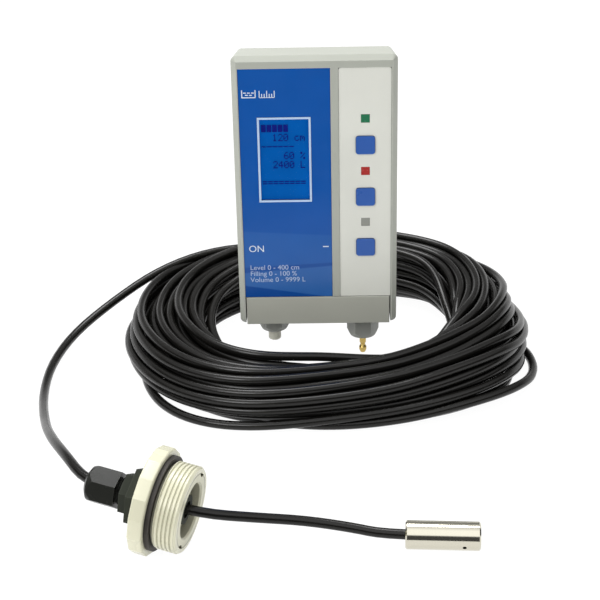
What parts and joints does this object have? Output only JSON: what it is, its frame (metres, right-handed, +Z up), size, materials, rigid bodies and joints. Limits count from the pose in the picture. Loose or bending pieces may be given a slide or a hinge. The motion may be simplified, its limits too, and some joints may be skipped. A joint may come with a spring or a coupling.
{
  "type": "tank level gauge",
  "caption": "Tank level gauge: upright wall indicator with display and keys, screw-in tank fitting, small steel probe and a coiled air hose.",
  "frame": {"origin": "on the table under the middle of the indicator, tank fitting and probe as laid out, without the free hose", "axes": "+X to the viewer's right along the indicator's front, +Y from the front to the back of the indicator, +Z up from the table"},
  "size_m": [0.3198, 0.3726, 0.2117],
  "materials": {
    "housing_grey": "fine moulded grain",
    "rear_grey": "fine moulded grain",
    "cover_grey": "fine moulded grain",
    "panel_blue": "printed film",
    "panel_white": "printed film",
    "screen_white": "smooth",
    "screen_clear": "clear pane",
    "screen_module": "plain",
    "key_blue": "satin",
    "lamp_green": "clear tinted",
    "lamp_red": "clear tinted",
    "lamp_grey": "clear tinted",
    "switch_black": "plain",
    "board_green": "solder mask",
    "screw_steel": "zinc plated",
    "unit_black": "plain",
    "core_steel": "varnished laminations",
    "terminal_grey": "plain",
    "gland_grey": "moulded",
    "gland_black": "moulded",
    "seal_black": "dull",
    "plug_cream": "moulded",
    "brass": "turned",
    "inner_clear": "silicone",
    "probe_steel": "turned and polished",
    "hose_black": "smooth, slightly glossy"
  },
  "bodies": {
    "gauge": {"rear_housing": "rear_grey", "front_hood": "housing_grey", "terminal_cover": "cover_grey", "display_panel": "panel_blue", "key_panel": "panel_white", "screen_frame": "screen_white", "screen_glass": "screen_clear", "screen_module": "screen_module", "key_switches": "switch_black", "lamp_green": "lamp_green", "lamp_red": "lamp_red", "lamp_grey": "lamp_grey", "main_board": "board_green", "board_screws": "screw_steel", "housing_screws": "screw_steel", "pressure_sensor": "unit_black", "power_transformer": "core_steel", "air_pump": "unit_black", "terminal_block": "terminal_grey", "left_gland_body": "gland_grey", "left_gland_nut": "gland_grey", "right_gland_body": "gland_grey", "right_gland_nut": "gland_grey", "gland_seals": "seal_black", "gland_locknuts": "gland_grey", "blanking_plug": "plug_cream", "hose_nipple": "brass", "inner_hose": "inner_clear", "tank_plug": "plug_cream", "plug_insert": "plug_cream", "flange_seal": "seal_black", "hose_gland_body": "gland_black", "hose_gland_locknut": "gland_black", "hose_gland_nut": "gland_black", "hose_grip": "seal_black", "probe_body": "probe_steel", "probe_cap": "probe_steel", "hose_run": "hose_black", "hose_coil": "hose_black"},
    "upper_key": {"key_upper": "key_blue"},
    "middle_key": {"key_middle": "key_blue"},
    "lower_key": {"key_lower": "key_blue"}
  },
  "joints": [
    {"name": "upper_key_press", "type": "slide", "parent": "gauge", "child": "upper_key", "axis": [0, 1, 0], "range_m": [0, 0.0006], "stiffness_N_per_m": 1500},
    {"name": "middle_key_press", "type": "slide", "parent": "gauge", "child": "middle_key", "axis": [0, 1, 0], "range_m": [0, 0.0006], "stiffness_N_per_m": 1500},
    {"name": "lower_key_press", "type": "slide", "parent": "gauge", "child": "lower_key", "axis": [0, 1, 0], "range_m": [0, 0.0006], "stiffness_N_per_m": 1500}
  ]
}
